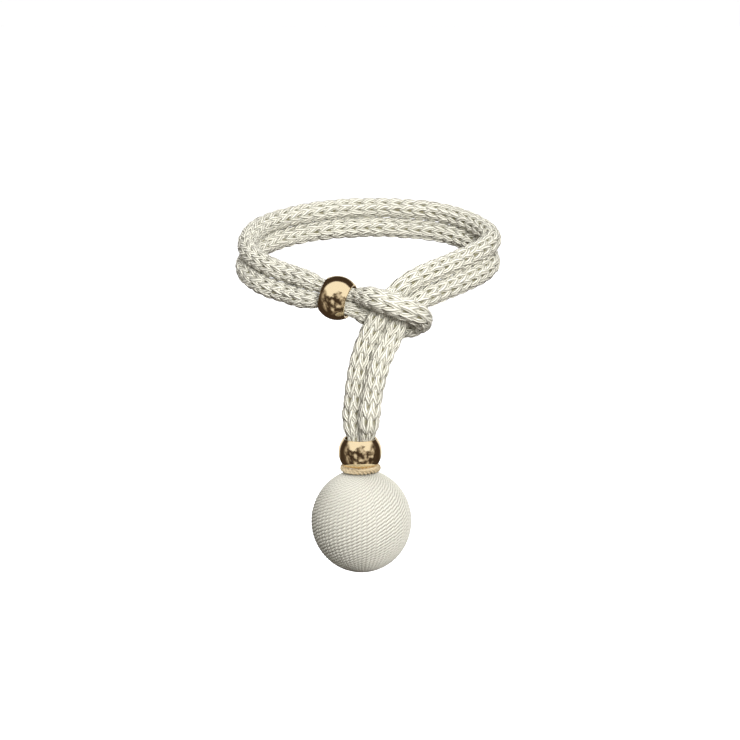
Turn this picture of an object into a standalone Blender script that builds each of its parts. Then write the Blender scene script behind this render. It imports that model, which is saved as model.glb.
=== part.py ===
"""A curtain tieback: one knitted rope folded double, two plated beads and a ball wound with thread.

The doubled rope lies in a ring round a gathered curtain. Its two ends go down into the collar bead above the
ball. The fold at its other end is a loop beyond the slider bead, and the two end strands and the ball were
passed through that loop. The origin is the middle of the ring, +Z is up, and the ball hangs in front, at -Y.
"""

import bmesh
import bpy
import numpy as np
from mathutils import Vector

MM = 0.001  # every length below is in millimetres, and MM turns it into metres

# Rope: one soft knitted tube. Its width is squeezed where it goes through a bead.
ROPE_DIAMETER = 10.4
ROPE_NECK = 6.8
NECK_OFFSET = 3.58  # from the middle of a bead to the middle of each strand in it
TUBE_POINTS = 78
BEND_WEIGHT = 22.0  # a turn of one radian takes as many points as this length of straight rope

# Beads: hollow metal balls, cut flat at both ends.
BEAD_LENGTH = 13.8
BEAD_HOLE = 15.0
BEAD_LIP = 0.6  # chamfer between the flat end and the hole
BEAD_STEPS = 44
MOUTH = BEAD_LENGTH / 2 + 0.3

SLIDER_DIAMETER = 22.0
SLIDER_CENTRE = (-14.6, -50.6, -14.6)
SLIDER_AXIS = (12.0, -4.0, -2.9)
SLIDER_SPREAD = (0.8, -0.2, 3.58)  # from the bead's middle towards the upper strand

COLLAR_DIAMETER = 21.6
COLLAR_CENTRE = (-3.4, -62.0, -89.8)
COLLAR_AXIS = (0.0, 0.0, 1.0)
COLLAR_SPREAD = (-3.2, 1.8, 0.0)

# Ring of twisted metallic cord between the collar bead and the ball.
CORD_RING_CENTRE = (-3.2, -62.0, -98.55)
CORD_RING_RADIUS = 8.4
CORD_RADIUS = 1.5
CORD_PLIES = 3
CORD_TURNS = 9
CORD_RELIEF = 0.18

# Ball: threads laid from pole to pole over a round core.
BALL_CENTRE = (-2.8, -62.0, -125.0)
BALL_RADIUS = 25.0
BALL_HALF_HEIGHT = 25.9
BALL_FLAT_RADIUS = 6.2  # flat top, under the cord ring
BALL_DIMPLE_RADIUS = 3.4
BALL_DIMPLE_DEPTH = 1.2
BALL_THREADS = 60
BALL_ROWS = 19
THREAD_RELIEF = 0.35

# The pair of strands from the collar bead up to the loop, round the ring and back to the slider bead.
# Columns: x, y, z midway between the strands; x, y, z from there to the first strand; width of the rope.
TAIL_AND_RING = (
    (-3.2, -62.0, -79.8, -3.7, 2.2, 0.0, 8.4),  # just above the collar bead
    (-3.0, -62.0, -74.5, -3.9, 3.8, 0.2, 10.5),  # tail
    (-2.0, -61.8, -64.0, -4.1, 3.6, 0.4, 10.6),
    (0.2, -61.2, -50.5, -4.3, 3.2, 0.8, 10.6),
    (4.4, -60.0, -37.0, -4.6, 2.0, 1.7, 10.5),
    (9.8, -57.6, -26.5, -4.4, 0.2, 2.7, 10.2),
    (15.2, -55.2, -16.9, -3.2, -0.2, 3.5, 9.2),  # inside the loop
    (25.2, -48.6, -10.6, -2.3, -0.4, 4.68, 10.1),
    (36.5, -39.3, -7.2, -2.0, -0.2, 5.05, 10.55),
    (48.5, -28.2, -3.9, -1.6, 0.2, 5.15, 10.6),
    (59.2, -15.0, -0.4, -0.8, -0.4, 5.25, 10.5),
    (63.3, 0.0, 2.6, 0.3, -1.2, 5.1, 10.3),  # right side
    (58.0, 18.0, 6.5, 0.8, -1.0, 5.05, 10.2),
    (41.5, 35.0, 11.0, 0.8, -0.4, 5.1, 10.2),
    (15.0, 43.5, 13.0, 0.2, 0.0, 5.2, 10.2),  # back
    (-15.0, 43.5, 12.5, -0.2, 0.0, 5.2, 10.2),
    (-41.0, 35.0, 9.5, -0.8, -0.4, 5.1, 10.1),
    (-57.0, 18.0, 5.0, -0.6, -1.0, 5.0, 10.0),
    (-61.9, 0.0, -0.3, 0.5, -1.2, 4.9, 9.9),  # left side
    (-58.2, -15.5, -4.2, 1.3, -0.6, 4.85, 9.9),
    (-48.3, -28.0, -7.9, 1.6, 0.2, 4.75, 9.8),
    (-36.5, -37.3, -10.5, 1.6, 0.0, 4.7, 9.7),
    (-28.6, -44.6, -11.9, 1.3, 0.0, 4.4, 9.0),
)

# The loop beyond the slider bead: out over the pair, round its outer side and back under it.
# Columns: x, y, z of the strand; width of the rope.
LOOP = (
    (1.5, -61.8, -12.4, 10.2),
    (12.5, -68.4, -14.9, 11.2),
    (23.0, -66.0, -19.1, 11.0),
    (27.2, -58.0, -24.0, 10.2),
    (24.6, -49.2, -28.4, 10.2),
    (15.0, -45.2, -30.6, 10.4),
    (3.6, -46.4, -26.6, 9.8),
    (-3.6, -51.0, -21.4, 9.0),
)

IVORY_YARN = (0.78, 0.74, 0.62)
IVORY_THREAD = (0.80, 0.77, 0.68)
CHAMPAGNE_GOLD = (0.86, 0.62, 0.36)
GOLD_THREAD = (0.72, 0.50, 0.26)


def principled(name, colour, roughness, metallic):
    """Material of one colour and finish."""
    material = bpy.data.materials.new(name)
    material.use_nodes = True
    shader = material.node_tree.nodes["Principled BSDF"]
    shader.inputs["Base Color"].default_value = (*colour, 1.0)
    shader.inputs["Roughness"].default_value = roughness
    shader.inputs["Metallic"].default_value = metallic
    return material


def add_object(name, data, material, location=(0.0, 0.0, 0.0)):
    """Object of that name in the scene, at a place given in millimetres."""
    piece = bpy.data.objects.new(name, data)
    piece.location = Vector(location) * MM
    data.materials.append(material)
    bpy.context.collection.objects.link(piece)
    return piece


def inside_bead(centre, axis, spread, ends):
    """Rows of the pair's route where it goes straight through a bead, ends being places along its axis."""
    along = Vector(axis).normalized()
    side = Vector(spread).normalized() * NECK_OFFSET
    return [(*(Vector(centre) + along * end), *side, ROPE_NECK) for end in ends]


def rope_route():
    """The whole rope's own points: first strand out to the loop, the loop, second strand back."""
    rope_end = 0.2 - BEAD_LENGTH / 2
    in_collar = inside_bead(COLLAR_CENTRE, COLLAR_AXIS, COLLAR_SPREAD, (rope_end, 0.0, MOUTH))
    in_slider = inside_bead(SLIDER_CENTRE, SLIDER_AXIS, SLIDER_SPREAD, (-MOUTH, 0.0, MOUTH))
    pair = np.array([*in_collar, *TAIL_AND_RING, *in_slider])
    middle, half, width = pair[:, :3], pair[:, 3:6], pair[:, 6:]
    first = np.hstack([middle + half, width])
    second = np.hstack([middle - half, width])
    return np.vstack([first, LOOP, second[::-1]])


def smooth_path(points, step=0.5):
    """Natural cubic spline through the points, over their distance along the path, read every step."""
    gaps = np.linalg.norm(np.diff(points[:, :3], axis=0), axis=1)
    at = np.concatenate([[0.0], np.cumsum(gaps)])
    count = len(points)
    system = np.eye(count)
    pull = np.zeros_like(points)
    for i in range(1, count - 1):
        system[i, i - 1 : i + 2] = gaps[i - 1], 2 * (gaps[i - 1] + gaps[i]), gaps[i]
        slope_change = (points[i + 1] - points[i]) / gaps[i] - (points[i] - points[i - 1]) / gaps[i - 1]
        pull[i] = 6 * slope_change
    bend = np.linalg.solve(system, pull)
    read = np.linspace(0.0, at[-1], int(at[-1] / step) + 1)
    k = np.clip(np.searchsorted(at, read, side="right") - 1, 0, count - 2)
    gap = gaps[k][:, None]
    after = (read - at[k])[:, None]
    before = gap - after
    cubic = (bend[k] * before**3 + bend[k + 1] * after**3) / (6 * gap)
    line = (points[k] / gap - bend[k] * gap / 6) * before + (points[k + 1] / gap - bend[k + 1] * gap / 6) * after
    return cubic + line


def thin_out(path, count):
    """Keep count points of a fine path, closer together where it bends."""
    steps = np.diff(path[:, :3], axis=0)
    lengths = np.linalg.norm(steps, axis=1)
    headings = steps / lengths[:, None]
    cosines = np.clip((headings[1:] * headings[:-1]).sum(axis=1), -1.0, 1.0)
    turns = np.concatenate([[0.0], np.arccos(cosines)])
    share = np.concatenate([[0.0], np.cumsum(lengths + BEND_WEIGHT * turns)])
    wanted = np.linspace(0.0, share[-1], count)
    return np.column_stack([np.interp(wanted, share, column) for column in path.T])


def make_rope(material):
    """The doubled rope as one closed tube along its route."""
    path = thin_out(smooth_path(rope_route()), TUBE_POINTS)
    curve = bpy.data.curves.new("rope", "CURVE")
    curve.dimensions = "3D"
    curve.bevel_depth = ROPE_DIAMETER / 2 * MM
    curve.bevel_resolution = 4
    curve.use_fill_caps = True
    curve.render_resolution_u = 0
    spline = curve.splines.new("POLY")
    spline.points.add(len(path) - 1)
    for point, (x, y, z, width) in zip(spline.points, path):
        point.co = (x * MM, y * MM, z * MM, 1.0)
        point.radius = width / ROPE_DIAMETER
    return add_object("rope", curve, material)


def make_bead(name, material, diameter, centre, axis):
    """A hollow ball with flat ends and a wide round hole, turned about its axis."""
    radius = diameter / 2
    half = BEAD_LENGTH / 2
    hole = BEAD_HOLE / 2
    edge = np.arcsin(half / radius)
    angles = np.linspace(-edge, edge, 11)
    outer = [(radius * np.cos(a), radius * np.sin(a)) for a in angles]
    bore = [(hole + BEAD_LIP / 2, half), (hole, half - BEAD_LIP), (hole, BEAD_LIP - half), (hole + BEAD_LIP / 2, -half)]
    profile = bmesh.new()
    corners = [profile.verts.new((r * MM, 0.0, z * MM)) for r, z in outer + bore]
    edges = [profile.edges.new((corners[i - 1], corners[i])) for i in range(len(corners))]
    bmesh.ops.spin(
        profile,
        geom=corners + edges,
        cent=(0.0, 0.0, 0.0),
        axis=(0.0, 0.0, 1.0),
        steps=BEAD_STEPS,
        angle=2 * np.pi,
        use_merge=True,
    )
    bmesh.ops.remove_doubles(profile, verts=profile.verts, dist=1e-6)
    bmesh.ops.recalc_face_normals(profile, faces=profile.faces)
    mesh = bpy.data.meshes.new(name)
    profile.to_mesh(mesh)
    profile.free()
    mesh.shade_smooth()
    mesh.set_sharp_from_angle(angle=np.radians(35))
    bead = add_object(name, mesh, material, centre)
    bead.rotation_euler = Vector(axis).to_track_quat("Z", "Y").to_euler()
    return bead


def grid_mesh(name, points, wrap_rows):
    """Mesh over a grid of points, closed round its columns, and round its rows too where wrap_rows is set."""
    rows, columns = points.shape[:2]
    index = np.arange(rows * columns).reshape(rows, columns)
    lower = index if wrap_rows else index[:-1]
    upper = np.roll(index, -1, axis=0) if wrap_rows else index[1:]
    quads = np.stack([lower, np.roll(lower, -1, axis=1), np.roll(upper, -1, axis=1), upper], axis=-1)
    faces = quads.reshape(-1, 4).tolist()
    if not wrap_rows:
        faces.append(index[0][::-1].tolist())
        faces.append(index[-1].tolist())
    mesh = bpy.data.meshes.new(name)
    mesh.from_pydata((points.reshape(-1, 3) * MM).tolist(), [], faces)
    mesh.update()
    mesh.shade_smooth()
    return mesh


def make_cord_ring(material):
    """Torus whose tube swells over each ply of the twisted cord."""
    around = np.linspace(0, 2 * np.pi, 3 * CORD_PLIES * CORD_TURNS, endpoint=False)[:, None]
    section = np.linspace(2 * np.pi, 0, 4 * CORD_PLIES, endpoint=False)[None, :]
    ply = np.abs(np.cos(CORD_PLIES * (section - CORD_TURNS * around) / 2))
    tube = CORD_RADIUS * (1 - CORD_RELIEF + CORD_RELIEF * ply)
    reach = CORD_RING_RADIUS + tube * np.cos(section)
    points = np.stack([reach * np.cos(around), reach * np.sin(around), tube * np.sin(section)], axis=-1)
    mesh = grid_mesh("cord_ring", points, wrap_rows=True)
    return add_object("cord_ring", mesh, material, CORD_RING_CENTRE)


def make_ball(material):
    """Slightly tall ball with a flat top, a dimple below and one rib for each thread."""
    top = np.arcsin(BALL_FLAT_RADIUS / BALL_RADIUS)
    bottom = np.pi - np.arcsin(BALL_DIMPLE_RADIUS / BALL_RADIUS)
    polar = np.linspace(bottom, top, BALL_ROWS)[:, None]
    around = np.linspace(0, 2 * np.pi, 2 * BALL_THREADS, endpoint=False)[None, :]
    rib = THREAD_RELIEF * np.sin(polar) * (np.cos(BALL_THREADS * around) - 1) / 2
    reach = BALL_RADIUS * np.sin(polar) + rib
    height = BALL_HALF_HEIGHT * np.cos(polar) + 0 * around
    points = np.stack([reach * np.cos(around), reach * np.sin(around), height], axis=-1)
    dimple = points[0] * (0.45, 0.45, 1.0) + (0.0, 0.0, BALL_DIMPLE_DEPTH)
    points = np.concatenate([dimple[None], points])
    return add_object("ball", grid_mesh("ball", points, wrap_rows=False), material, BALL_CENTRE)


for old in list(bpy.data.objects):
    bpy.data.objects.remove(old, do_unlink=True)

yarn = principled("ivory yarn", IVORY_YARN, 0.55, 0.0)
thread = principled("ivory thread", IVORY_THREAD, 0.42, 0.0)
gold = principled("champagne gold plate", CHAMPAGNE_GOLD, 0.16, 1.0)
gold_cord = principled("gold cord", GOLD_THREAD, 0.38, 0.7)

make_rope(yarn)
make_bead("slider_bead", gold, SLIDER_DIAMETER, SLIDER_CENTRE, SLIDER_AXIS)
make_bead("collar_bead", gold, COLLAR_DIAMETER, COLLAR_CENTRE, COLLAR_AXIS)
make_cord_ring(gold_cord)
make_ball(thread)
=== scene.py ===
import math

import bpy
import numpy as np
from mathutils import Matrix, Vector


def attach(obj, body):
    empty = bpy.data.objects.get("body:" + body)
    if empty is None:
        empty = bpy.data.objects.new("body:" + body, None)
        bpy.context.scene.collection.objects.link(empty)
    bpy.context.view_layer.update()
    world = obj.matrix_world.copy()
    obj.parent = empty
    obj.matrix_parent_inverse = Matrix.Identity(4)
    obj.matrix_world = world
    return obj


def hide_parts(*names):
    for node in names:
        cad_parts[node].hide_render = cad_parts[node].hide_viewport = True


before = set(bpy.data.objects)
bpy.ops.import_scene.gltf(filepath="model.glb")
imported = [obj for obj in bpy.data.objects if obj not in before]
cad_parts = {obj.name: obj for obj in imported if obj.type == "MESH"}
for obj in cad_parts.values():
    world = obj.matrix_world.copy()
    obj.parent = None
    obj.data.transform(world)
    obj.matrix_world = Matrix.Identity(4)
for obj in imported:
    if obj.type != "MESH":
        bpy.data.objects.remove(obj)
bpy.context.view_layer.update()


# ---------------------------------------------------------------- viewpoint
# The tieback is seen from the front and a little above, through a long lens.
# The view is 740 pixels wide and high, and one pixel is 0.495 mm at the ball.
VIEW_PIXELS = 740
PIXEL_SIZE = 0.000495
VIEW_DISTANCE = 1.2
VIEW_ELEVATION = math.radians(11.0)
VIEW_TARGET = Vector((0.0015, -0.055, -0.050))

camera_data = bpy.data.cameras.new("camera")
camera_data.sensor_width = 36.0
camera_data.lens = camera_data.sensor_width * VIEW_DISTANCE / (VIEW_PIXELS * PIXEL_SIZE)
camera = bpy.data.objects.new("camera", camera_data)
towards_camera = Vector((0.0, -math.cos(VIEW_ELEVATION), math.sin(VIEW_ELEVATION)))
camera.location = VIEW_TARGET + towards_camera * VIEW_DISTANCE
camera.rotation_euler = (-towards_camera).to_track_quat("-Z", "Y").to_euler()
bpy.context.scene.collection.objects.link(camera)
bpy.context.scene.camera = camera


# ---------------------------------------------------------------- rope core
# One soft rope, folded double: its two ends go into the collar bead and its fold is the loop.
# The core is the filling that the knitted cover is drawn over. It shows only through the gaps, and its
# dark olive colour is painted shade, standing for the shade inside the knit.
ROPE_DIAMETER = 0.0104
CORE_SHARE = 0.74  # of the rope's width
CORE_SIDES = 20
CORE_ROW_STEP = 3  # of the rope's points, from one row of the core to the next
CORE_FUZZ_SCALE = 1400.0
CORE_PAINTED_SHADE_DARK = (0.14, 0.13, 0.075, 1.0)
CORE_PAINTED_SHADE_LIGHT = (0.36, 0.34, 0.22, 1.0)
BEAD_LENGTH = 0.0138
BEAD_MOUTH = BEAD_LENGTH / 2 + 0.0003
ROPE_END = BEAD_LENGTH / 2 - 0.0002
NECK_WIDTH = 0.0068
NECK_OFFSET = 0.00358  # from a bead's middle to the middle of each strand in it

SLIDER_CENTRE = np.array((-0.0146, -0.0506, -0.0146))
SLIDER_AXIS = np.array((0.0120, -0.0040, -0.0029))
SLIDER_SPREAD = np.array((0.0008, -0.0002, 0.00358))
COLLAR_CENTRE = np.array((-0.0034, -0.0620, -0.0898))
COLLAR_AXIS = np.array((0.0, 0.0, 1.0))
COLLAR_SPREAD = np.array((-0.0032, 0.0018, 0.0))

# Columns: x, y, z midway between the two strands; x, y, z from there to the first; rope width.
TAIL_AND_RING = np.array((
    (-0.0032, -0.0620, -0.0798, -0.0037, 0.0022, 0.0000, 0.0084),  # just above the collar bead
    (-0.0030, -0.0620, -0.0745, -0.0039, 0.0038, 0.0002, 0.0105),  # tail
    (-0.0020, -0.0618, -0.0640, -0.0041, 0.0036, 0.0004, 0.0106),
    (0.0002, -0.0612, -0.0505, -0.0043, 0.0032, 0.0008, 0.0106),
    (0.0044, -0.0600, -0.0370, -0.0046, 0.0020, 0.0017, 0.0105),
    (0.0098, -0.0576, -0.0265, -0.0044, 0.0002, 0.0027, 0.0102),
    (0.0152, -0.0552, -0.0169, -0.0032, -0.0002, 0.0035, 0.0092),  # inside the loop
    (0.0252, -0.0486, -0.0106, -0.0023, -0.0004, 0.00468, 0.0101),
    (0.0365, -0.0393, -0.0072, -0.0020, -0.0002, 0.00505, 0.01055),
    (0.0485, -0.0282, -0.0039, -0.0016, 0.0002, 0.00515, 0.0106),
    (0.0592, -0.0150, -0.0004, -0.0008, -0.0004, 0.00525, 0.0105),
    (0.0633, 0.0000, 0.0026, 0.0003, -0.0012, 0.0051, 0.0103),  # right side
    (0.0580, 0.0180, 0.0065, 0.0008, -0.0010, 0.00505, 0.0102),
    (0.0415, 0.0350, 0.0110, 0.0008, -0.0004, 0.0051, 0.0102),
    (0.0150, 0.0435, 0.0130, 0.0002, 0.0000, 0.0052, 0.0102),  # back
    (-0.0150, 0.0435, 0.0125, -0.0002, 0.0000, 0.0052, 0.0102),
    (-0.0410, 0.0350, 0.0095, -0.0008, -0.0004, 0.0051, 0.0101),
    (-0.0570, 0.0180, 0.0050, -0.0006, -0.0010, 0.0050, 0.0100),
    (-0.0619, 0.0000, -0.0003, 0.0005, -0.0012, 0.0049, 0.0099),  # left side
    (-0.0582, -0.0155, -0.0042, 0.0013, -0.0006, 0.00485, 0.0099),
    (-0.0483, -0.0280, -0.0079, 0.0016, 0.0002, 0.00475, 0.0098),
    (-0.0365, -0.0373, -0.0105, 0.0016, 0.0000, 0.0047, 0.0097),
    (-0.0286, -0.0446, -0.0119, 0.0013, 0.0000, 0.0044, 0.0090),
))
# Columns: x, y, z of the strand; rope width.
LOOP = np.array((
    (0.0015, -0.0618, -0.0124, 0.0102),
    (0.0125, -0.0684, -0.0149, 0.0112),
    (0.0230, -0.0660, -0.0191, 0.0110),
    (0.0272, -0.0580, -0.0240, 0.0102),
    (0.0246, -0.0492, -0.0284, 0.0102),
    (0.0150, -0.0452, -0.0306, 0.0104),
    (0.0036, -0.0464, -0.0266, 0.0098),
    (-0.0036, -0.0510, -0.0214, 0.0090),
))


def unit(vectors):
    """Each vector divided by its own length."""
    return vectors / np.linalg.norm(vectors, axis=-1, keepdims=True)


def inside_bead(centre, axis, spread, ends):
    """Rows of the pair's route through a bead: centre + axis * end, one row for each end."""
    middle = centre + unit(axis) * np.array(ends)[:, None]
    side = np.broadcast_to(unit(spread) * NECK_OFFSET, middle.shape)
    return np.hstack([middle, side, np.full((len(middle), 1), NECK_WIDTH)])


def rope_route():
    """The rope's own points and widths: first strand out to the loop, the loop, second strand back."""
    in_collar = inside_bead(COLLAR_CENTRE, COLLAR_AXIS, COLLAR_SPREAD, (-ROPE_END, 0.0, BEAD_MOUTH))
    in_slider = inside_bead(SLIDER_CENTRE, SLIDER_AXIS, SLIDER_SPREAD, (-BEAD_MOUTH, 0.0, BEAD_MOUTH))
    pair = np.vstack([in_collar, TAIL_AND_RING, in_slider])
    middle, half, width = pair[:, :3], pair[:, 3:6], pair[:, 6:]
    first = np.hstack([middle + half, width])
    second = np.hstack([middle - half, width])
    return np.vstack([first, LOOP, second[::-1]])


def smooth_path(points, step=0.0005):
    """Natural cubic spline through the points, over their distance along the path, read every step."""
    gaps = np.linalg.norm(np.diff(points[:, :3], axis=0), axis=1)
    at = np.concatenate([[0.0], np.cumsum(gaps)])
    slopes = np.diff(points, axis=0) / gaps[:, None]
    inner = np.diag(2 * (gaps[:-1] + gaps[1:])) + np.diag(gaps[1:-1], 1) + np.diag(gaps[1:-1], -1)
    bend = np.zeros_like(points)
    bend[1:-1] = np.linalg.solve(inner, 6 * np.diff(slopes, axis=0))
    read = np.linspace(0.0, at[-1], int(at[-1] / step) + 1)
    k = np.clip(np.searchsorted(at, read, side="right") - 1, 0, len(points) - 2)
    gap = gaps[k][:, None]
    after = (read - at[k])[:, None]
    before = gap - after
    cubic = (bend[k] * before**3 + bend[k + 1] * after**3) / (6 * gap)
    start = points[k] / gap - bend[k] * gap / 6
    end = points[k + 1] / gap - bend[k + 1] * gap / 6
    return cubic + start * before + end * after


# A direction that the rope never follows, so that every place on it has a side facing that way.
STEADY_DIRECTION = np.array((0.248, -0.633, -0.733))

rope_path = smooth_path(rope_route())
rope_line, rope_width = rope_path[:, :3], rope_path[:, 3]
rope_gaps = np.linalg.norm(np.diff(rope_line, axis=0), axis=1)
rope_at = np.concatenate([[0.0], np.cumsum(rope_gaps)])
rope_heading = unit(np.gradient(rope_line, rope_at, axis=0))


def untwisted_sides(heading, distance):
    """Two directions across the path at each point, carried along it without twist.

    The part of the steady direction across the path turns about it at some rate. That rate, summed
    along the path, is the angle by which it is turned back.
    """
    across = STEADY_DIRECTION - (heading @ STEADY_DIRECTION)[:, None] * heading
    across = unit(across)
    other = np.cross(heading, across)
    rate = (np.gradient(across, distance, axis=0) * other).sum(axis=1)
    steps = np.diff(distance) * (rate[1:] + rate[:-1]) / 2
    turned = -np.concatenate([[0.0], np.cumsum(steps)])[:, None]
    side = np.cos(turned) * across + np.sin(turned) * other
    return side, np.cross(heading, side)


rope_side, rope_other = untwisted_sides(rope_heading, rope_at)


def on_rope(along, angle, radius):
    """Points at a distance along the rope, an angle round it and a radius from its line."""
    def read(table):
        return np.stack([np.interp(along, rope_at, column) for column in table.T], axis=-1)
    out = np.cos(angle)[..., None] * read(rope_side) + np.sin(angle)[..., None] * read(rope_other)
    return read(rope_line) + radius[..., None] * out, out


def mesh_piece(name, points, faces, material, uvs=None):
    """Smooth object at the origin, from points in metres, arrays of faces and arrays of their UVs."""
    mesh = bpy.data.meshes.new(name)
    every_face = [face for group in faces for face in group.tolist()]
    mesh.from_pydata(points.reshape(-1, 3).tolist(), [], every_face)
    mesh.update()
    mesh.shade_smooth()
    if uvs is not None:
        layer = mesh.uv_layers.new(name="UVMap")
        layer.data.foreach_set("uv", np.concatenate([group.ravel() for group in uvs]).astype(np.float32))
    mesh.materials.append(material)
    piece = bpy.data.objects.new(name, mesh)
    bpy.context.scene.collection.objects.link(piece)
    return piece


def grid_faces(rows, columns, rows_meet=False):
    """Quads over a grid closed round its columns, and their UVs, counted in rows and columns.

    The face at row r and column c joins it to the next of each. The last column's next is the first,
    and so is the last row's where rows_meet is set.
    """
    index = np.arange(rows * columns).reshape(rows, columns)
    lower = index if rows_meet else index[:-1]
    upper = np.roll(index, -1, axis=0) if rows_meet else index[1:]
    quads = np.stack([lower, np.roll(lower, -1, axis=1), np.roll(upper, -1, axis=1), upper], axis=-1)
    row, column = np.indices(lower.shape)
    corner = ((0, 0), (0, 1), (1, 1), (1, 0))
    uvs = np.stack([np.stack([row + r, column + c], axis=-1) for r, c in corner], axis=-2)
    return quads.reshape(-1, 4), uvs.reshape(-1, 4, 2)


def end_fans(rows, columns):
    """Triangles from a tube's first and last rows to two end points kept after the grid, and their UVs."""
    index = np.arange(rows * columns).reshape(rows, columns)
    beside = np.roll(index, -1, axis=1)
    column = np.arange(columns)
    first = np.stack([beside[0], index[0], np.full(columns, rows * columns)], axis=-1)
    last = np.stack([index[-1], beside[-1], np.full(columns, rows * columns + 1)], axis=-1)
    place = np.zeros((2, columns, 3, 2))
    place[0, :, :, 1] = np.stack([column + 1, column, column + 0.5], axis=-1)
    place[1, :, :, 1] = np.stack([column, column + 1, column + 0.5], axis=-1)
    place[0, :, 2, 0] = -1.0
    place[1, :, :, 0] = rows - 1.0
    place[1, :, 2, 0] = rows
    return np.vstack([first, last]), place.reshape(-1, 3, 2)


def new_material(name, roughness):
    """Material with a Principled shader of that roughness; returns it, its nodes, links and shader."""
    material = bpy.data.materials.new(name)
    material.use_nodes = True
    tree = material.node_tree
    shader = tree.nodes["Principled BSDF"]
    shader.inputs["Roughness"].default_value = roughness
    return material, tree.nodes, tree.links, shader


core_material, nodes, links, shader = new_material("rope core in painted shade", 0.85)
place = nodes.new("ShaderNodeTexCoord")
fuzz = nodes.new("ShaderNodeTexNoise")
fuzz.inputs["Scale"].default_value = CORE_FUZZ_SCALE
links.new(place.outputs["Object"], fuzz.inputs["Vector"])
# The core's colour is painted shade: dark olive, with random tone from the noise.
core_painted_shade = nodes.new("ShaderNodeValToRGB")
core_painted_shade.color_ramp.elements[0].color = CORE_PAINTED_SHADE_DARK
core_painted_shade.color_ramp.elements[1].color = CORE_PAINTED_SHADE_LIGHT
links.new(fuzz.outputs["Fac"], core_painted_shade.inputs["Fac"])
links.new(core_painted_shade.outputs["Color"], shader.inputs["Base Color"])

core_rows = np.arange(0, len(rope_line), CORE_ROW_STEP)
core_angles = np.linspace(0.0, 2 * np.pi, CORE_SIDES, endpoint=False)
along, angle = np.meshgrid(rope_at[core_rows], core_angles, indexing="ij")
core_radius = np.interp(along, rope_at, rope_width) / 2 * CORE_SHARE
core_points, _ = on_rope(along, angle, core_radius)
core_tips = np.stack([rope_line[core_rows[0]], rope_line[core_rows[-1]]])
core_quads, _ = grid_faces(len(core_rows), CORE_SIDES)
core_fans, _ = end_fans(len(core_rows), CORE_SIDES)
rope_core = mesh_piece(
    "rope_core", np.vstack([core_points.reshape(-1, 3), core_tips]), [core_quads, core_fans], core_material
)
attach(rope_core, "root")
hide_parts("rope")


# ---------------------------------------------------------------- knitted cover
# The rope's cover is a knitted tube of glossy ivory yarn, seven stitches round.
# Each stitch shows as a V: two legs that come up through the stitch before, spread and go under the next.
WALES = 7
STITCH_PITCH = 0.0070
LEG_ROWS = 8
LEG_SIDES = 6
LEG_HALF_WIDTH = 0.00130
LEG_HALF_DEPTH = 0.00107
YARN_PLIES = 5.0  # round the whole leg
UNEVENNESS = 0.07  # of a stitch: how far one leg may differ from the next
UNEVEN_ROUND = 0.5  # times that: in a leg's place round the rope, in stitches
UNEVEN_HEIGHT = 2.0  # times that: in a leg's height, in leg depths
LEG_TIP = 0.06  # of the half turn of the sine that thins a leg, left off at each tip
LEG_BLUNTNESS = 0.35  # power of that sine
SIDE_SHADE_SINK = 0.6  # how much deeper a leg's side counts than its top, in leg depths, so that its sides and underside take more painted shade
IVORY_YARN = (0.91, 0.89, 0.78, 1.0)
YARN_PAINTED_SHADE = (0.19, 0.175, 0.09, 1.0)
DARK_SINK = -1.9  # sunk this far, in leg depths, the yarn is all in painted shade
LIT_SINK = -0.25
YARN_LAY = 0.033  # turn of the plies for each step along a leg
YARN_PLY_RELIEF = 0.00055
GROOVE_SHADE_POWER = 0.7
GROOVE_SHADE_SHARE = 0.80  # of the colour that the painted shade in a groove between plies takes away
GROOVE_SHADE_REST = 0.20
FIBRE_STRETCH = (0.7, 22.0, 1.0)
FIBRE_RELIEF = 0.00020
FIBRE_SHIFT = 11.3  # from one leg to the next, so that no two have the same fibres

# A leg's course. Columns: place along and across in stitches, height in leg depths, thickness.
LEG_COURSE = np.array((
    (-0.22, 0.02, -1.7, 0.55),
    (-0.08, 0.05, -0.5, 0.74),
    (0.08, 0.11, 0.05, 0.90),
    (0.27, 0.23, 0.22, 1.02),
    (0.47, 0.36, 0.25, 1.10),
    (0.70, 0.46, 0.22, 1.12),
    (1.00, 0.51, 0.0, 1.06),
    (1.30, 0.48, -1.6, 0.75),
))


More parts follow.
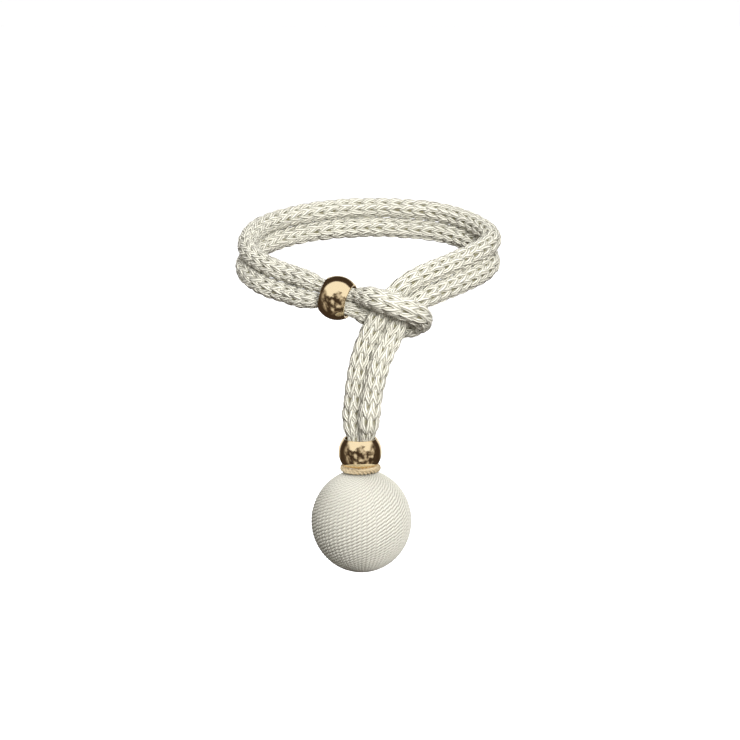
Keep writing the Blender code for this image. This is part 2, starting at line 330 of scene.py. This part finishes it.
def stitch_legs(first_row, last_row, direction):
    """Points of the legs of the stitches from one row to another, and how far each is sunk, which sets the
    yarn's painted shade.

    Each leg is an oval carried along its course: a line at a place along the rope and across its
    stitch, and at a depth under the rope's surface. Both ends close to a point under the next leg.
    A random share of the unevenness is added to each leg's place along and round the rope and to its
    height, and its thickness is multiplied by one plus such a share.
    """
    wanted = np.meshgrid(np.arange(first_row, last_row), np.arange(WALES), (-1.0, 1.0), indexing="ij")
    row, wale, hand = (part.reshape(-1, 1) for part in wanted)
    uneven = np.random.default_rng(first_row).uniform(-1.0, 1.0, (4, len(row), 1)) * UNEVENNESS
    read = np.linspace(0.0, 1.0, LEG_ROWS)
    knots = np.linspace(0.0, 1.0, len(LEG_COURSE))
    step, across, height, size = (np.interp(read, knots, column) for column in LEG_COURSE.T)
    along = (row + 0.5 + uneven[0] + direction * (step - 0.5)) * STITCH_PITCH
    along = np.clip(along, 0.0, rope_at[-1])
    scale = np.interp(along, rope_at, rope_width) / ROPE_DIAMETER
    angle = (wale + UNEVEN_ROUND * uneven[1] + hand * across) * 2 * np.pi / WALES
    height = height + UNEVEN_HEIGHT * uneven[2]
    size = size * (1.0 + uneven[3])
    centre, out = on_rope(along, angle, scale * (ROPE_DIAMETER / 2 + (height - 1.0) * LEG_HALF_DEPTH))
    course = unit(np.gradient(centre, axis=1))
    sideways = unit(np.cross(out, course))[:, :, None]
    up = np.cross(course, sideways[:, :, 0])[:, :, None]
    turn = np.linspace(0.0, 2 * np.pi, LEG_SIDES, endpoint=False)[:, None]
    swell = np.sin(np.pi * (LEG_TIP + (1.0 - 2 * LEG_TIP) * read)) ** LEG_BLUNTNESS
    thick = (scale * size * swell)[:, :, None, None]
    oval = LEG_HALF_WIDTH * np.cos(turn) * sideways + LEG_HALF_DEPTH * np.sin(turn) * up
    body = (centre[:, :, None] + thick * oval).reshape(len(row), -1, 3)
    points = np.concatenate([body, centre[:, :1], centre[:, -1:]], axis=1)
    # How far each point is sunk, with its sides and underside counted deeper. The yarn's colour turns this
    # into painted shade.
    sunk = (height[:, :, None] + SIDE_SHADE_SINK * (np.sin(turn.ravel()) - 1.0)).reshape(len(row), -1)
    return points, np.concatenate([sunk, height[:, [0, -1]]], axis=1)


yarn_material, nodes, links, shader = new_material("ivory knitting yarn with painted shade", 0.40)
weft = nodes.new("ShaderNodeUVMap")
weft.uv_map = "UVMap"
parts = nodes.new("ShaderNodeSeparateXYZ")
links.new(weft.outputs["UV"], parts.inputs["Vector"])


def maths(operation, first, second=None):
    """Math node on one or two values, each a number or another node's output; returns its output."""
    node = nodes.new("ShaderNodeMath")
    node.operation = operation
    for socket, value in zip(node.inputs, (first, second)):
        if isinstance(value, (int, float)):
            socket.default_value = value
        elif value is not None:
            links.new(value, socket)
    return node.outputs["Value"]


def ramp(fac, *stops):
    """Colour ramp over a value; each stop is a place and a colour; returns its output."""
    node = nodes.new("ShaderNodeValToRGB")
    for i, (at, colour) in enumerate(stops):
        element = node.color_ramp.elements[i] if i < 2 else node.color_ramp.elements.new(at)
        element.position = at
        element.color = colour
    links.new(fac, node.inputs["Fac"])
    return node.outputs["Color"]


def bump(height, distance, strength=1.0, under=None):
    """Bump node from a height; returns its normal."""
    node = nodes.new("ShaderNodeBump")
    node.inputs["Strength"].default_value = strength
    node.inputs["Distance"].default_value = distance
    links.new(height, node.inputs["Height"])
    if under is not None:
        links.new(under, node.inputs["Normal"])
    return node.outputs["Normal"]


# The yarn's plies run along each leg with a slow turn, and fine fibres lie along them.
lay = maths("MULTIPLY", parts.outputs["X"], YARN_LAY)
turned = maths("ADD", parts.outputs["Y"], lay)
ply = maths("ABSOLUTE", maths("SINE", maths("MULTIPLY", turned, math.pi * YARN_PLIES)))
stretch = nodes.new("ShaderNodeMapping")
stretch.inputs["Scale"].default_value = FIBRE_STRETCH
links.new(weft.outputs["UV"], stretch.inputs["Vector"])
fibres = nodes.new("ShaderNodeTexNoise")
fibres.inputs["Scale"].default_value = 1.0
fibres.inputs["Detail"].default_value = 3.0
links.new(stretch.outputs["Vector"], fibres.inputs["Vector"])
# The yarn's colour is painted shade: it darkens from ivory to olive where the knit is sunk and in the
# grooves between plies.
painted_shade_depth = nodes.new("ShaderNodeAttribute")
painted_shade_depth.attribute_name = "sunk"
painted_depth_shade = nodes.new("ShaderNodeMapRange")
painted_depth_shade.inputs["From Min"].default_value = DARK_SINK
painted_depth_shade.inputs["From Max"].default_value = LIT_SINK
links.new(painted_shade_depth.outputs["Fac"], painted_depth_shade.inputs["Value"])
# Painted shade in the grooves between plies: the colour darkens where the ply pattern falls to zero.
groove_shade = maths("MULTIPLY", maths("POWER", ply, GROOVE_SHADE_POWER), GROOVE_SHADE_SHARE)
painted_light_share = maths("MULTIPLY", painted_depth_shade.outputs["Result"], maths("ADD", groove_shade, GROOVE_SHADE_REST))
links.new(ramp(painted_light_share, (0.0, YARN_PAINTED_SHADE), (1.0, IVORY_YARN)), shader.inputs["Base Color"])
grain = bump(fibres.outputs["Fac"], FIBRE_RELIEF, 0.5)
links.new(bump(ply, YARN_PLY_RELIEF, 1.0, grain), shader.inputs["Normal"])
shader.inputs["Sheen Weight"].default_value = 0.15


def knitted_piece(name, first_row, last_row, direction):
    """One mesh of all the legs between two rows, with its UV map and the attribute sunk that sets the
    painted shade.
    """
    points, sunk = stitch_legs(first_row, last_row, direction)
    legs, each = points.shape[:2]
    quads, quad_uvs = grid_faces(LEG_ROWS, LEG_SIDES)
    fans, fan_uvs = end_fans(LEG_ROWS, LEG_SIDES)
    shift = (np.arange(legs) * each)[:, None, None]
    uv_shift = np.stack([np.arange(legs) * FIBRE_SHIFT, np.zeros(legs)], axis=-1)[:, None, None]
    scale = (1.0, 1.0 / LEG_SIDES)
    uvs = [quad_uvs * scale + uv_shift, fan_uvs * scale + uv_shift]
    faces = [(quads + shift).reshape(-1, 4), (fans + shift).reshape(-1, 3)]
    piece = mesh_piece(name, points, faces, yarn_material, uvs)
    attribute = piece.data.attributes.new("sunk", "FLOAT", "POINT")
    attribute.data.foreach_set("value", sunk.ravel().astype(np.float32))
    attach(piece, "root")
    return piece


# The V's turn round where the strands cross inside the loop and in the slider bead, out of sight.
ALL_ROWS = int(rope_at[-1] / STITCH_PITCH)
TURNS = (0, 12, 76, 122, ALL_ROWS)
knit = [
    knitted_piece("knit_first_tail", TURNS[0], TURNS[1], 1.0),
    knitted_piece("knit_first_ring", TURNS[1], TURNS[2], -1.0),
    knitted_piece("knit_second_ring", TURNS[2], TURNS[3], 1.0),
    knitted_piece("knit_second_tail", TURNS[3], TURNS[4], -1.0),
]


# ---------------------------------------------------------------- beads
# Two hollow metal balls cut flat at both ends, plated a pale rose gold and polished.
# The slider grips both strands before the loop, and the collar holds both ends above the ball.
BEAD_HOLE = 0.0150
BEAD_LIP = 0.0005  # round edge of each mouth
BEAD_SIDES = 96
OUTSIDE_POINTS = 41
LIP_POINTS = 6
BORE_POINTS = 8
DENT_SCALE = 180.0
DENT_RELIEF = 0.00012
SMOOTHEST = 0.06  # roughness of the plate where it is polished best
ROUGHEST = 0.16
SLIDER_DIAMETER = 0.0220
COLLAR_DIAMETER = 0.0216
ROSE_GOLD = (0.90, 0.73, 0.46, 1.0)

gold_material, nodes, links, shader = new_material("rose gold plate", 0.09)
shader.inputs["Base Color"].default_value = ROSE_GOLD
shader.inputs["Metallic"].default_value = 1.0
place = nodes.new("ShaderNodeTexCoord")
waves = nodes.new("ShaderNodeTexNoise")
waves.inputs["Scale"].default_value = DENT_SCALE
waves.inputs["Detail"].default_value = 2.0
links.new(place.outputs["Object"], waves.inputs["Vector"])
links.new(bump(waves.outputs["Fac"], DENT_RELIEF, 0.5), shader.inputs["Normal"])
smears = nodes.new("ShaderNodeMapRange")
smears.inputs["To Min"].default_value = SMOOTHEST
smears.inputs["To Max"].default_value = ROUGHEST
links.new(waves.outputs["Fac"], smears.inputs["Value"])
links.new(smears.outputs["Result"], shader.inputs["Roughness"])


def arc(centre, radius, start, end, count):
    """Points of a circle's arc: centre + radius * (cos, sin) of angles from start to end."""
    angles = np.linspace(start, end, count)[:, None]
    return np.array(centre) + radius * np.hstack([np.cos(angles), np.sin(angles)])


def turned_bead(name, diameter, centre, axis, node):
    """The bead's profile of radius and height, turned about its axis: ball outside, rounded lips, bore."""
    half = BEAD_LENGTH / 2
    hole = BEAD_HOLE / 2
    edge = math.asin((half - BEAD_LIP) / (diameter / 2))
    outside = arc((0.0, 0.0), diameter / 2, -edge, edge, OUTSIDE_POINTS)
    lip_middle = (outside[-1, 0] - BEAD_LIP, half - BEAD_LIP)
    lip = arc(lip_middle, BEAD_LIP, edge, np.pi / 2, LIP_POINTS)[1:]
    mouth = arc((hole + BEAD_LIP, half - BEAD_LIP), BEAD_LIP, np.pi / 2, np.pi, LIP_POINTS)
    bore_heights = np.linspace(half - BEAD_LIP, 0.0, BORE_POINTS)[1:]
    bore = np.column_stack([np.full(BORE_POINTS - 1, hole), bore_heights])
    top = np.vstack([outside[OUTSIDE_POINTS // 2:], lip, mouth, bore])
    bottom = top[-2:0:-1] * (1.0, -1.0)
    profile = np.vstack([top, bottom])
    turn = np.linspace(0.0, 2 * np.pi, BEAD_SIDES, endpoint=False)[None, :, None]
    along = unit(np.asarray(axis, float))
    first = unit(np.cross(along, (0.3, 1.0, 0.2)))
    second = np.cross(along, first)
    reach, height = profile[:, :1, None], profile[:, 1:, None]
    points = np.asarray(centre) + reach * (np.cos(turn) * first + np.sin(turn) * second) + height * along
    faces, _ = grid_faces(len(profile), BEAD_SIDES, rows_meet=True)
    piece = mesh_piece(name, points, [faces], gold_material)
    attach(piece, "root")
    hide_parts(node)
    return piece


turned_bead("polished_slider_bead", SLIDER_DIAMETER, SLIDER_CENTRE, SLIDER_AXIS, "slider_bead")
turned_bead("polished_collar_bead", COLLAR_DIAMETER, COLLAR_CENTRE, COLLAR_AXIS, "collar_bead")


# ---------------------------------------------------------------- gold cord ring
# A ring of three-ply cord twisted from metallic gold thread, lying between the collar bead and the ball.
# It is drawn tight up under the bead, so its top goes half a millimetre into the bead's lower edge.
RING_CENTRE = np.array((-0.0032, -0.0620, -0.09795))
RING_RADIUS = 0.0084
RING_PLIES = 3
RING_TURNS = 9  # of each ply, in one round of the ring
PLY_RADIUS = 0.00080
PLY_WINDING = 0.00096  # from the cord's middle to the middle of each ply
PLY_SIDES = 12
PLY_STEPS = 288
GOLD_THREAD = (1.0, 0.84, 0.56, 1.0)
GOLD_PAINTED_SHADE = (0.40, 0.25, 0.10, 1.0)
FILAMENTS_ALONG = 2.4  # how fast the filaments pass along a ply
FILAMENTS_ROUND = 5.0  # and round it
FILAMENT_RELIEF = 0.00012

ring_material, nodes, links, shader = new_material("twisted gold thread with painted shade", 0.34)
weft = nodes.new("ShaderNodeUVMap")
weft.uv_map = "UVMap"
parts = nodes.new("ShaderNodeSeparateXYZ")
links.new(weft.outputs["UV"], parts.inputs["Vector"])
along_ply = maths("MULTIPLY", parts.outputs["X"], FILAMENTS_ALONG)
round_it = maths("MULTIPLY", parts.outputs["Y"], FILAMENTS_ROUND)
filament_relief_and_shade = maths("ABSOLUTE", maths("SINE", maths("ADD", along_ply, round_it)))
# Painted shade between the filaments: the gold darkens where the filament pattern falls to zero.
links.new(ramp(filament_relief_and_shade, (0.0, GOLD_PAINTED_SHADE), (0.6, GOLD_THREAD)), shader.inputs["Base Color"])
links.new(bump(filament_relief_and_shade, FILAMENT_RELIEF), shader.inputs["Normal"])
shader.inputs["Metallic"].default_value = 0.3

round_ring = np.linspace(0.0, 2 * np.pi, PLY_STEPS, endpoint=False)[:, None]
round_ply = np.linspace(0.0, 2 * np.pi, PLY_SIDES, endpoint=False)[None, :]
ring_points, ring_faces, ring_uvs = [], [], []
for ply_number in range(RING_PLIES):
    winding = -RING_TURNS * round_ring + 2 * np.pi * ply_number / RING_PLIES
    reach = RING_RADIUS + PLY_WINDING * np.cos(winding) + PLY_RADIUS * np.cos(round_ply)
    height = PLY_WINDING * np.sin(winding) + PLY_RADIUS * np.sin(round_ply)
    points = np.stack([reach * np.cos(round_ring), reach * np.sin(round_ring), height], axis=-1)
    faces, uvs = grid_faces(PLY_STEPS, PLY_SIDES, rows_meet=True)
    ring_points.append(RING_CENTRE + points.reshape(-1, 3))
    ring_faces.append(faces[:, ::-1] + ply_number * PLY_STEPS * PLY_SIDES)
    ring_uvs.append(uvs[:, ::-1])
gold_ring = mesh_piece("twisted_cord_ring", np.vstack(ring_points), ring_faces, ring_material, ring_uvs)
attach(gold_ring, "root")
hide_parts("cord_ring")


# ---------------------------------------------------------------- ball
# A round core wound from pole to pole with twisted ivory thread, as glossy as silk.
# The threads lie side by side, drawn in at the top under the cord ring and at the dimple below.
BALL_CENTRE = np.array((-0.0028, -0.0620, -0.1250))
BALL_RADIUS = 0.0250
BALL_HALF_HEIGHT = 0.0259
BALL_THREADS = 60
COLUMNS_PER_THREAD = 6
BALL_ROWS = 260
BALL_TOP_RADIUS = 0.0062
BALL_DIMPLE_RADIUS = 0.0024
BALL_DIMPLE_DEPTH = 0.0012
THREAD_RELIEF = 0.26  # of a thread's width
PLY_RELIEF = 0.00064
STROKE_PITCH = 0.00175  # along the thread, from one ply to the next
THREAD_ARCH = 0.9  # how round a thread is: 1 is a half circle
FULL_RELIEF_WIDTH = 0.0026  # of a thread: a narrower one has flatter plies
STROKE_SLANT = 3  # how far a ply leans over the width of its thread
SLANT_REACH = 0.97  # share of that width over which it leans
STROKE_SHIFT = 0.37  # of a ply, from one thread to the next
STROKE_UNEVENNESS = 0.15  # of a ply
STROKE_SEED = 3
BALL_TOP_SHARE = 0.975  # of the half height, to the middle of the flat top
BALL_FIBRE_STRETCH = (1.3, 9.0, 1.0)
BALL_GRAIN_RELIEF = 0.00012
IVORY_THREAD = (0.64, 0.63, 0.565, 1.0)
THREAD_PAINTED_SHADE = (0.15, 0.13, 0.08, 1.0)

thread_material, nodes, links, shader = new_material("glossy ivory thread with painted shade", 0.42)
shader.inputs["Specular IOR Level"].default_value = 0.15
weft = nodes.new("ShaderNodeUVMap")
weft.uv_map = "UVMap"
parts = nodes.new("ShaderNodeSeparateXYZ")
links.new(weft.outputs["UV"], parts.inputs["Vector"])
ply = maths("ABSOLUTE", maths("SINE", maths("MULTIPLY", parts.outputs["Y"], math.pi)))
stretch = nodes.new("ShaderNodeMapping")
stretch.inputs["Scale"].default_value = BALL_FIBRE_STRETCH
links.new(weft.outputs["UV"], stretch.inputs["Vector"])
fibres = nodes.new("ShaderNodeTexNoise")
fibres.inputs["Scale"].default_value = 1.0
fibres.inputs["Detail"].default_value = 3.0
links.new(stretch.outputs["Vector"], fibres.inputs["Vector"])
# Painted shade in the grooves between plies: the thread darkens from ivory to olive where the ply pattern
# falls to zero.
links.new(ramp(ply, (0.0, THREAD_PAINTED_SHADE), (0.55, IVORY_THREAD)), shader.inputs["Base Color"])
grain = bump(fibres.outputs["Fac"], BALL_GRAIN_RELIEF, 0.5)
links.new(bump(ply, BALL_GRAIN_RELIEF, 0.8, grain), shader.inputs["Normal"])


def ball_surface():
    """The wound ball as a grid from its dimple up to its flat top, and the place of each point in a ply.

    Radius and height are the sine and cosine of the angle from the pole, times the ball's own. Threads
    lower the surface towards their edges, and plies lower it again along slanting lines between them.
    Each thread's plies are moved along it by a fixed step from the last thread's and a random share.
    """
    low = np.pi - math.asin(BALL_DIMPLE_RADIUS / BALL_RADIUS)
    high = math.asin(BALL_TOP_RADIUS / BALL_RADIUS)
    polar = np.linspace(low, high, BALL_ROWS)[:, None]
    columns = BALL_THREADS * COLUMNS_PER_THREAD
    turn = (np.arange(columns + 1) / columns)[None, :]
    across = 2 * (turn * BALL_THREADS % 1.0) - 1.0
    across = np.where(turn >= 1.0, -1.0, across)
    width = 2 * np.pi * BALL_RADIUS * np.sin(polar) / BALL_THREADS
    arched = np.sqrt(1.0 - THREAD_ARCH * across**2) - 1.0
    thread_number = np.floor(turn * BALL_THREADS + 1e-9)  # the last column is the first again
    random = np.random.default_rng(STROKE_SEED)
    share = random.uniform(-STROKE_UNEVENNESS, STROKE_UNEVENNESS, BALL_THREADS + 1)
    uneven = share[thread_number.astype(int) % BALL_THREADS]
    strokes = BALL_RADIUS * (np.pi - polar) / STROKE_PITCH + STROKE_SHIFT * thread_number + uneven
    strokes = strokes - np.arcsin(SLANT_REACH * across) * STROKE_SLANT / (2 * np.pi)
    ply = np.abs(np.sin(np.pi * strokes)) - 1.0
    flattened = np.minimum(1.0, width / FULL_RELIEF_WIDTH)
    relief = THREAD_RELIEF * width * arched + PLY_RELIEF * ply * flattened
    reach = BALL_RADIUS * np.sin(polar) + relief * np.sin(polar)
    height = BALL_HALF_HEIGHT * np.cos(polar) + relief * np.cos(polar)
    around = 2 * np.pi * turn
    points = BALL_CENTRE + np.stack([reach * np.cos(around), reach * np.sin(around), height], axis=-1)
    thread_turns = np.broadcast_to(turn * BALL_THREADS, reach.shape)
    return points, np.broadcast_to(strokes, reach.shape), thread_turns


points, strokes, thread_turns = ball_surface()
columns = BALL_THREADS * COLUMNS_PER_THREAD
quads, cells = grid_faces(BALL_ROWS, columns)
fans, _ = end_fans(BALL_ROWS, columns)
cells = cells.astype(int)
corner_row, corner_column = cells[..., 0], cells[..., 1]
thread_at_corner = thread_turns[corner_row, corner_column]
stroke_at_corner = strokes[corner_row, corner_column]
stroke_uvs = np.stack([thread_at_corner, stroke_at_corner], axis=-1)
poles = BALL_CENTRE + np.array(((0.0, 0.0, -1.0), (0.0, 0.0, 1.0))) * np.array((
    (BALL_HALF_HEIGHT - BALL_DIMPLE_DEPTH,), (BALL_HALF_HEIGHT * BALL_TOP_SHARE,)
))
ball = mesh_piece(
    "wound_ball",
    np.vstack([points[:, :-1].reshape(-1, 3), poles]),
    [quads, fans],
    thread_material,
    [stroke_uvs, np.zeros((len(fans), 3, 2))],
)
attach(ball, "root")
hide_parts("ball")


# ---------------------------------------------------------------- studio
# A plain pale floor and four plain walls far off. They show only to the camera, so that the lights and
# the room further down alone light the object and are mirrored in its beads.
FLOOR_HEIGHT = -0.30
FLOOR_REACH = 8.0
WALL_HEIGHT = 9.0
ROOM_DARK = (0.05, 0.035, 0.025, 1.0)
ROOM_DIM = (0.40, 0.36, 0.32, 1.0)
ROOM_BRIGHT = (1.0, 1.0, 1.0, 1.0)
WINDOW_MIDDLE = (0.03, -0.95, 0.31)  # direction of the dark thing before the window
RAGGEDNESS = 0.5  # how far the edges of the window wander
CLUTTER_SHARE = 0.8  # of the window's brightness

floor_material, nodes, links, shader = new_material("pale floor", 0.9)
shader.inputs["Base Color"].default_value = (0.92, 0.92, 0.92, 1.0)
shader.inputs["Emission Color"].default_value = (1.0, 1.0, 1.0, 1.0)
shader.inputs["Emission Strength"].default_value = 0.70
floor_corners = np.array(((-1, -1), (1, -1), (1, 1), (-1, 1))) * FLOOR_REACH
floor_points = np.column_stack([floor_corners, np.full(4, FLOOR_HEIGHT)])
floor = mesh_piece("floor", floor_points, [np.array(((0, 1, 2, 3),))], floor_material)
wall_material, nodes, links, shader = new_material("pale wall", 0.9)
shader.inputs["Base Color"].default_value = (0.0, 0.0, 0.0, 1.0)
shader.inputs["Emission Color"].default_value = (1.0, 1.0, 1.0, 1.0)
shader.inputs["Emission Strength"].default_value = 1.0
walls = mesh_piece(
    "walls",
    np.vstack([floor_points, floor_points + (0.0, 0.0, WALL_HEIGHT)]),
    [np.array(((1, 0, 4, 5), (2, 1, 5, 6), (3, 2, 6, 7), (0, 3, 7, 4)))],
    wall_material,
)
walls.visible_shadow = False
for backdrop in (floor, walls):
    backdrop.visible_glossy = False
    backdrop.visible_diffuse = False


def softbox(name, place, aim, width, height, power):
    """Upright area light at a place, turned to its aim. Metal shows the room and not the light."""
    data = bpy.data.lights.new(name, "AREA")
    data.shape = "RECTANGLE"
    data.size = width
    data.size_y = height
    data.energy = power
    light = bpy.data.objects.new(name, data)
    light.location = place
    light.rotation_euler = (Vector(aim) - Vector(place)).to_track_quat("-Z", "Y").to_euler()
    light.visible_glossy = False
    bpy.context.scene.collection.objects.link(light)


softbox("key light", (0.28, -1.32, 0.44), (0.0, -0.05, -0.08), 0.45, 0.45, 22.0)
softbox("back light", (-0.70, 1.15, 0.45), (0.0, 0.0, -0.05), 0.90, 0.90, 9.0)

# The room: a broad bright window in front and above with something dark before its middle, a lit wall
# behind near the horizon, and patches of dimmer light in front. Each pair of numbers in a smooth step is
# where it starts and where it is full, as a part of the direction that is looked in.
world = bpy.data.worlds.new("studio")
world.use_nodes = True
nodes, links = world.node_tree.nodes, world.node_tree.links
sky = nodes["Background"]
aim = nodes.new("ShaderNodeTexCoord")


def noise(scale, detail):
    """Noise over the direction that is looked in; returns its output."""
    node = nodes.new("ShaderNodeTexNoise")
    node.inputs["Scale"].default_value = scale
    node.inputs["Detail"].default_value = detail
    links.new(aim.outputs["Generated"], node.inputs["Vector"])
    return node.outputs["Fac"]


def smooth_step(value, low, high):
    """Map Range node that rises smoothly from 0 at low to 1 at high; returns its output."""
    node = nodes.new("ShaderNodeMapRange")
    node.interpolation_type = "SMOOTHSTEP"
    node.inputs["From Min"].default_value = low
    node.inputs["From Max"].default_value = high
    links.new(value, node.inputs["Value"])
    return node.outputs["Result"]


way = nodes.new("ShaderNodeSeparateXYZ")
links.new(aim.outputs["Generated"], way.inputs["Vector"])
ahead = nodes.new("ShaderNodeVectorMath")
ahead.operation = "DOT_PRODUCT"
links.new(aim.outputs["Generated"], ahead.inputs[0])
ahead.inputs[1].default_value = WINDOW_MIDDLE
ragged_edge = maths("MULTIPLY", maths("SUBTRACT", noise(3.0, 3.0), 0.5), RAGGEDNESS)
height = maths("ADD", way.outputs["Z"], ragged_edge)
depth = maths("ADD", way.outputs["Y"], maths("MULTIPLY", way.outputs["Z"], -0.4))
upper_front = maths("MULTIPLY", smooth_step(height, 0.17, 0.25), smooth_step(depth, -0.05, -0.20))
before_it = smooth_step(maths("ADD", ahead.outputs["Value"], ragged_edge), 0.97, 0.88)
between_sides = smooth_step(maths("ABSOLUTE", way.outputs["X"]), 0.95, 0.75)
window = maths("MULTIPLY", maths("MULTIPLY", upper_front, before_it), between_sides)
not_high = smooth_step(way.outputs["Z"], 0.40, 0.20)
not_low = smooth_step(way.outputs["Z"], -0.40, -0.20)
near_horizon = maths("MULTIPLY", not_high, not_low)
wall = maths("MULTIPLY", smooth_step(way.outputs["Y"], 0.60, 0.82), near_horizon)
in_front = smooth_step(way.outputs["Y"], 0.2, -0.3)
patches = smooth_step(noise(2.6, 4.0), 0.44, 0.66)
clutter = maths("MULTIPLY", patches, maths("MULTIPLY", in_front, CLUTTER_SHARE))
glow = maths("MAXIMUM", maths("MAXIMUM", window, wall), clutter)
room = ramp(glow, (0.0, ROOM_DARK), (1.0, ROOM_BRIGHT), (0.5, ROOM_DIM))
links.new(room, sky.inputs["Color"])
sky.inputs["Strength"].default_value = 1.05
bpy.context.scene.world = world
bpy.context.scene.view_settings.view_transform = "Standard"
